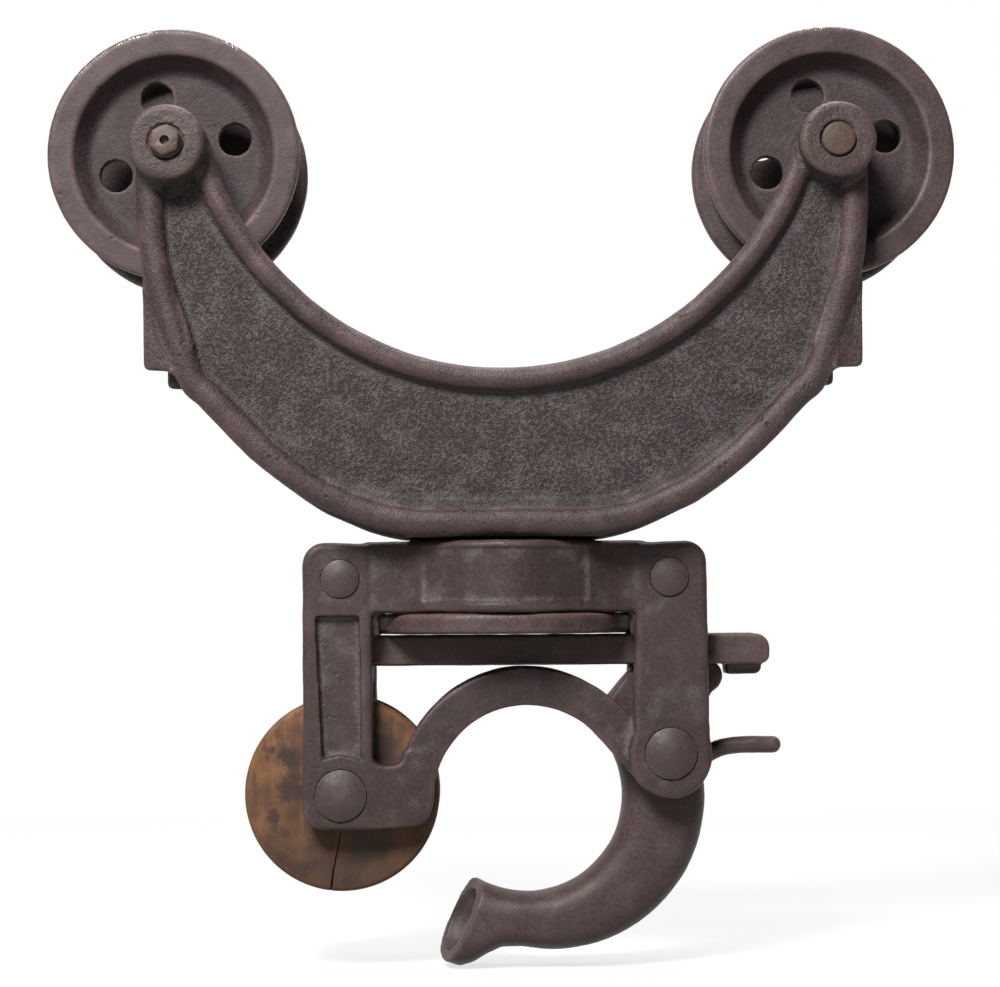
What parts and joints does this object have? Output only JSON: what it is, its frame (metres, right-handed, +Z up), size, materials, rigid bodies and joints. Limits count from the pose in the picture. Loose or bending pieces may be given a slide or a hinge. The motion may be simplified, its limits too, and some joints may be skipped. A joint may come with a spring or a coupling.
{
  "type": "hay trolley",
  "caption": "Cast-iron hay trolley: a crescent yoke on flanged wheels carries a swivelling rope block with a wooden sheave, a swinging hook and a sliding lock bar.",
  "frame": {"origin": "on the middle plane, half-way between the axles, level with the top of the track under the wheel treads", "axes": "+X along the track, towards the hook's side, +Z up, -Y is the front as pictured"},
  "size_m": [0.51, 0.173, 0.5294],
  "materials": {
    "yoke_iron": "brown patina on sand-cast iron",
    "wheel_iron": "brown patina, worn bright on the rims",
    "block_iron": "brown patina on sand-cast iron",
    "hook_iron": "brown patina on sand-cast iron",
    "rivet_iron": "smooth brown patina",
    "axle_iron": "rubbed bare at the ends",
    "sheave_wood": "old dry hardwood with dark stains"
  },
  "bodies": {
    "yoke": {"yoke": "yoke_iron", "axle_front_left": "axle_iron", "axle_front_right": "axle_iron", "axle_rear_left": "axle_iron", "axle_rear_right": "axle_iron"},
    "front_left_wheel": {"wheel_front_left": "wheel_iron"},
    "front_right_wheel": {"wheel_front_right": "wheel_iron"},
    "rear_left_wheel": {"wheel_rear_left": "wheel_iron"},
    "rear_right_wheel": {"wheel_rear_right": "wheel_iron"},
    "block": {"block_plate_front": "block_iron", "block_plate_rear": "block_iron", "upper_rivet_left": "rivet_iron", "upper_rivet_right": "rivet_iron", "sheave_pin": "rivet_iron", "hook_pin": "rivet_iron"},
    "sheave": {"rope_sheave": "sheave_wood", "sheave_bush": "axle_iron"},
    "hook": {"hook": "hook_iron"},
    "lock_bar": {"lock_bar": "hook_iron"}
  },
  "joints": [
    {"name": "front_left_spin", "type": "hinge", "parent": "yoke", "child": "front_left_wheel", "pos_m": [-0.184, 0, 0.06], "axis": [0, 1, 0], "continuous": true},
    {"name": "front_right_spin", "type": "hinge", "parent": "yoke", "child": "front_right_wheel", "pos_m": [0.184, 0, 0.06], "axis": [0, 1, 0], "continuous": true},
    {"name": "rear_left_spin", "type": "hinge", "parent": "yoke", "child": "rear_left_wheel", "pos_m": [-0.184, 0, 0.06], "axis": [0, 1, 0], "continuous": true},
    {"name": "rear_right_spin", "type": "hinge", "parent": "yoke", "child": "rear_right_wheel", "pos_m": [0.184, 0, 0.06], "axis": [0, 1, 0], "continuous": true},
    {"name": "block_swivel", "type": "hinge", "parent": "yoke", "child": "block", "pos_m": [0, 0, -0.2], "axis": [0, 0, 1], "continuous": true},
    {"name": "sheave_spin", "type": "hinge", "parent": "block", "child": "sheave", "pos_m": [-0.092, 0, -0.299], "axis": [0, 1, 0], "continuous": true},
    {"name": "hook_swing", "type": "hinge", "parent": "block", "child": "hook", "pos_m": [0.092, 0, -0.277], "axis": [0, -1, 0], "range_deg": [0, 56]},
    {"name": "bar_slide", "type": "slide", "parent": "block", "child": "lock_bar", "axis": [-1, 0, 0], "range_m": [0, 0.0452]}
  ],
  "couplings": [
    {"joint": "bar_slide", "follows": "hook_swing", "m_per_rad": 0.0461}
  ]
}
